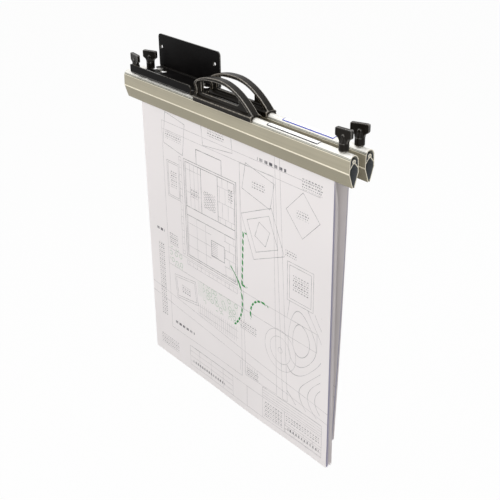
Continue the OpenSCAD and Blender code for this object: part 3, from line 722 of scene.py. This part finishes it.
class RACK_OT_stage(bpy.types.Operator):
    """Adds the floor, the soft lamps, the white surround and the photograph's camera"""

    bl_idname = "rack.stage"
    bl_label = "Studio"

    def execute(self, context):
        sizes = context.scene.rack_sizes
        deselect()
        low, high = cad_bounds
        centre = (Vector(low) + Vector(high)) / 2
        bpy.ops.mesh.primitive_plane_add(
            size=FLOOR_SPAN, location=(centre.x, centre.y, low[2] - sizes.floor_drop))
        floor = context.active_object
        floor.name = "floor"
        floor.data.materials.append(self.floor_material(context.scene.rack_colours.floor))
        self.surround(context.scene)
        # Place, size in metres, power in watts and aim of each lamp
        lamps = (("overhead", (0.2, -0.2, 1.9), (2.4, 1.6), 35, (0.15, -0.05, 0)),
                 ("key", (-0.6, -2.4, 1.3), (1.8, 1.8), 32, (0.1, 0, -0.3)),
                 ("side", (2.4, -1.6, 0.4), (1.4, 2.0), 24, (0, 0, -0.2)),
                 ("back", (-0.5, 2.6, 1.0), (2.0, 2.0), 22, (0.1, 0, -0.3)))
        for name, spot, size, power, aim in lamps:
            bpy.ops.object.light_add(type="AREA", location=spot)
            lamp = context.active_object
            lamp.name = name + "_lamp"
            lamp.data.shape = "RECTANGLE"
            lamp.data.size, lamp.data.size_y = size
            lamp.data.energy = power
            towards = Vector(aim) - Vector(spot)
            lamp.rotation_euler = towards.to_track_quat("-Z", "Y").to_euler()
        tilt, roll, heading = sizes.camera_turn
        bpy.ops.object.camera_add(location=sizes.camera_place)
        camera = context.active_object
        camera.name = "photograph"
        camera.rotation_euler = (Matrix.Rotation(heading, 3, "Z")
                                 @ Matrix.Rotation(tilt, 3, "X")
                                 @ Matrix.Rotation(roll, 3, "Z")).to_euler()
        camera.data.sensor_width = 36
        camera.data.lens = sizes.camera_lens
        camera.data.clip_end = 50
        context.scene.camera = camera
        context.scene.view_settings.view_transform = "Standard"
        deselect()
        return {"FINISHED"}

    def floor_material(self, colour):
        """Pale painted floor; eye and gloss see most of it as plain white."""
        material, tree = new_material("pale floor")
        matt = add(tree, "BsdfDiffuse", Color=linear(colour))
        white = add(tree, "Emission", Color=(1, 1, 1, 1), Strength=1.0)
        share = add(tree, "Math", "MULTIPLY", self.seen(tree), 0.97)
        both = add(tree, "MixShader", None, share, matt, white)
        add(tree, "OutputMaterial", Surface=both)
        return material

    def seen(self, tree):
        """Rays that show a thing itself, and not the light that it gives off."""
        path = add(tree, "LightPath")
        seen = 0.0
        for ray in ("Is Camera Ray", "Is Glossy Ray", "Is Transmission Ray"):
            seen = add(tree, "Math", "MAXIMUM", seen, path.outputs[ray])
        return seen

    def surround(self, scene):
        """White where it is seen; as light it is softer, and brighter above than level."""
        world = bpy.data.worlds.new("surround")
        scene.world = world
        world.use_nodes = True
        tree = world.node_tree
        tree.nodes.clear()
        aim = add(tree, "TexCoord").outputs["Generated"]
        height = add(tree, "SeparateXYZ", Vector=aim).outputs["Z"]
        light = add(tree, "MapRange", None, height, -0.1, 0.8, 0.28, 0.5)
        strength = add(tree, "Mix", None, self.seen(tree), light, 1.0)
        back = add(tree, "Background", Color=(1, 1, 1, 1), Strength=strength)
        add(tree, "OutputWorld", Surface=back)


class RACK_OT_metal(bpy.types.Operator):
    """Finishes the jaws, the rails and the fasteners"""

    bl_idname = "rack.metal"
    bl_label = "Metal Parts"

    def execute(self, context):
        colours = context.scene.rack_colours
        # The jaws: painted shade on the lower faces, a painted highlight on the ridges, painted
        # light and shade inside, bare metal on the sawn ends
        jaw = extruded_aluminium(
            "anodised aluminium, warm silver", colours.jaw, 0.4, 0.42,
            [(lower_jaw_shade, colours.lower_jaw_shade), (jaw_ridge, colours.highlight_and_bare_metal), (jaw_hollow, colours.inside_light_and_shade),
             (cut_end, colours.highlight_and_bare_metal)])
        # The rails: painted shade on the sides and in the grooves, a painted highlight on the
        # brims, bare metal on the sawn ends
        rail = extruded_aluminium(
            "anodised aluminium, pale silver", colours.rail, 0.3, 0.36,
            [(rail_side_shade, colours.rail_side_shade), (rail_groove, colours.groove_shade),
             (rail_brim, colours.highlight_and_bare_metal), (cut_end, colours.highlight_and_bare_metal)])
        zinc = zinc_plate("zinc plated steel", colours.zinc)
        for clamp in CLAMPS:
            paint([clamp + "_near_jaw", clamp + "_far_jaw"], jaw)
            paint([clamp + "_top_rail"], rail)
            paint([clamp + end for end in (
                "_hinge_rod", "_anchor_blocks", "_left_stud", "_right_stud", "_knob_washers",
                "_handle_screws", "_hanger_studs", "_hanger_nuts")], zinc)
        return {"FINISHED"}


class RACK_OT_black(bpy.types.Operator):
    """Rounds and finishes the wall bracket, the knobs and the handles"""

    bl_idname = "rack.black"
    bl_label = "Black Parts"

    def execute(self, context):
        sizes = context.scene.rack_sizes
        colours = context.scene.rack_colours
        # Each black finish has an edge material: a painted highlight along its worn edges
        coat = (powder_coat("black powder coat", colours.coat),
                worn_edge_and_highlight("powder coat, rubbed edge", colours.bracket_edge_highlight))
        plastic = moulded_plastic("moulded black ABS", colours.plastic)
        handle = (plastic, worn_edge_and_highlight("black ABS, handle edge", colours.edge_highlight))
        knob = (plastic, worn_edge_and_highlight("black ABS, knob edge", colours.knob_edge_highlight))
        coated("wall_bracket", "bracket", coat)
        for clamp in CLAMPS:
            moulded(clamp + "_handle", clamp + "_clamp", sizes, handle)
            for side in ("left", "right"):
                moulded(f"{clamp}_{side}_knob", f"{clamp}_knob_{side}", sizes, knob)
        return {"FINISHED"}


class RACK_OT_labels(bpy.types.Operator):
    """Bends an index label over each rail and prints its border"""

    bl_idname = "rack.labels"
    bl_label = "Index Labels"

    def execute(self, context):
        colours = context.scene.rack_colours
        # Colour of each border, and the width of its line in millimetres
        for clamp, colour, line in (("front", colours.label_front, 2.2),
                                    ("rear", colours.label_rear, 2.4)):
            low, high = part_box(clamp + "_index_label")
            length = high.x - low.x
            arc = 2 * WRAP_HALF_ANGLE * WRAP_RADIUS
            deselect()
            bpy.ops.mesh.primitive_grid_add(x_subdivisions=30, y_subdivisions=24, size=1)
            label = context.active_object
            label.name = clamp + "_label"
            middle = (low + high) / 2
            for vertex in label.data.vertices:
                angle = vertex.co.y * 2 * WRAP_HALF_ANGLE
                vertex.co = Vector((middle.x + vertex.co.x * length,
                                    middle.y + WRAP_RADIUS * math.sin(angle),
                                    high.z - WRAP_RADIUS + WRAP_RADIUS * math.cos(angle)))
            label.data.materials.append(index_card(
                f"{clamp} index card", colours.card, colour, line, length / MM, arc / MM))
            apply(label, "SOLIDIFY", thickness=CARD_THICKNESS, offset=-1)
            settle(label, clamp + "_clamp")
            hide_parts(clamp + "_index_label")
        return {"FINISHED"}


class RACK_OT_sheets(bpy.types.Operator):
    """Hangs the loose sheets in both clamps, with a plan drawn on each bundle's first sheet"""

    bl_idname = "rack.sheets"
    bl_label = "Hung Sheets"

    def execute(self, context):
        sizes = context.scene.rack_sizes
        colours = context.scene.rack_colours
        blank = plain_paper("bond paper", colours.paper)
        bluish_material = plain_paper("bluish print paper", colours.bluish_paper)
        for clamp in CLAMPS:
            low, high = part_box(clamp + "_sheets")
            plan = printed_plan(f"plotted plan, {clamp}", sizes, colours, high.x - low.x,
                                high.z - low.z)
            for i in range(sizes.sheets):
                sheet, drop = self.hang(clamp, i, sizes, low, high)
                # Each bundle's second sheet takes the darker bluish paper
                back = bluish_material if i == 1 else blank
                sheet.data.materials.append(plan if i == 0 else back)
                sheet.data.materials.append(back)
                apply(sheet, "SOLIDIFY", thickness=sizes.paper, offset=-1, material_offset=1,
                      material_offset_rim=1)
                settle(sheet, clamp + "_clamp")
                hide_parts(clamp + "_sheets")
        return {"FINISHED"}

    def hang(self, clamp, i, sizes, low, high):
        """One sheet, and its length: straight out of the grip, then drifting and waving."""
        axis = (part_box(clamp + "_near_jaw")[0].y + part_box(clamp + "_far_jaw")[1].y) / 2
        share = i / (sizes.sheets - 1)
        bundle = BUNDLES[clamp]
        drift = bundle.spread * sizes.spread * share ** 1.3
        lean = bundle.lean * sizes.lean
        width = high.x - low.x
        drop = high.z - low.z - drift * 0.6 - bundle.shorter
        deselect()
        bpy.ops.mesh.primitive_grid_add(x_subdivisions=48, y_subdivisions=60, size=1)
        sheet = bpy.context.active_object
        sheet.name = f"{clamp}_sheet_{i + 1}"
        for vertex in sheet.data.vertices:
            across = vertex.co.x + 0.5
            depth = (0.5 - vertex.co.y) * drop
            fall = max(0, depth - GRIP_DEPTH) / (drop - GRIP_DEPTH)
            wave = (1.1 * math.sin(across * 7 + 0.6) + 0.6 * math.sin(across * 13 + fall * 3)) * MM
            # The back sheets' right edges curl away from the first, as rolled paper does
            opened = 1 - (1 - min(1, fall / 0.12)) ** 2
            flare = self.between(bundle.curl, fall) * share * opened
            curl = flare * max(0, (across - 0.82) / 0.18) ** 2
            aside = ASIDE[i] * MM * (0.3 + 0.7 * fall) + self.between(bundle.shift, fall)
            vertex.co = Vector((low.x + across * width + aside,
                                axis - GRIP_FIRST + GRIP_STEP * i
                                + (drift - lean) * fall ** 1.6 + wave * fall + curl,
                                high.z - depth))
        return sheet, drop

    def between(self, ends, share):
        """A value on the way from the first of two to the second."""
        return ends[0] + (ends[1] - ends[0]) * share


class RACK_PT_panel(bpy.types.Panel):
    """The rack's pieces, sizes and colours"""

    bl_idname = "RACK_PT_panel"
    bl_label = "Plan Hanging Rack"
    bl_space_type = "VIEW_3D"
    bl_region_type = "UI"
    bl_category = "Plan Rack"

    def draw(self, context):
        column = self.layout.column()
        for group in (context.scene.rack_sizes, context.scene.rack_colours):
            for key in group.__annotations__:
                column.prop(group, key)
        for operator in OPERATORS:
            column.operator(operator.bl_idname)


OPERATORS = (RACK_OT_stage, RACK_OT_metal, RACK_OT_black, RACK_OT_labels, RACK_OT_sheets)
CLASSES = (RackSizes, RackColours, *OPERATORS, RACK_PT_panel)


def register():
    for item in CLASSES:
        bpy.utils.register_class(item)
    bpy.types.Scene.rack_sizes = bpy.props.PointerProperty(type=RackSizes)
    bpy.types.Scene.rack_colours = bpy.props.PointerProperty(type=RackColours)


def unregister():
    del bpy.types.Scene.rack_colours
    del bpy.types.Scene.rack_sizes
    for item in reversed(CLASSES):
        bpy.utils.unregister_class(item)


def main():
    register()
    bpy.ops.rack.stage()
    bpy.ops.rack.metal()
    bpy.ops.rack.black()
    bpy.ops.rack.labels()
    bpy.ops.rack.sheets()


if __name__ == "__main__":
    main()
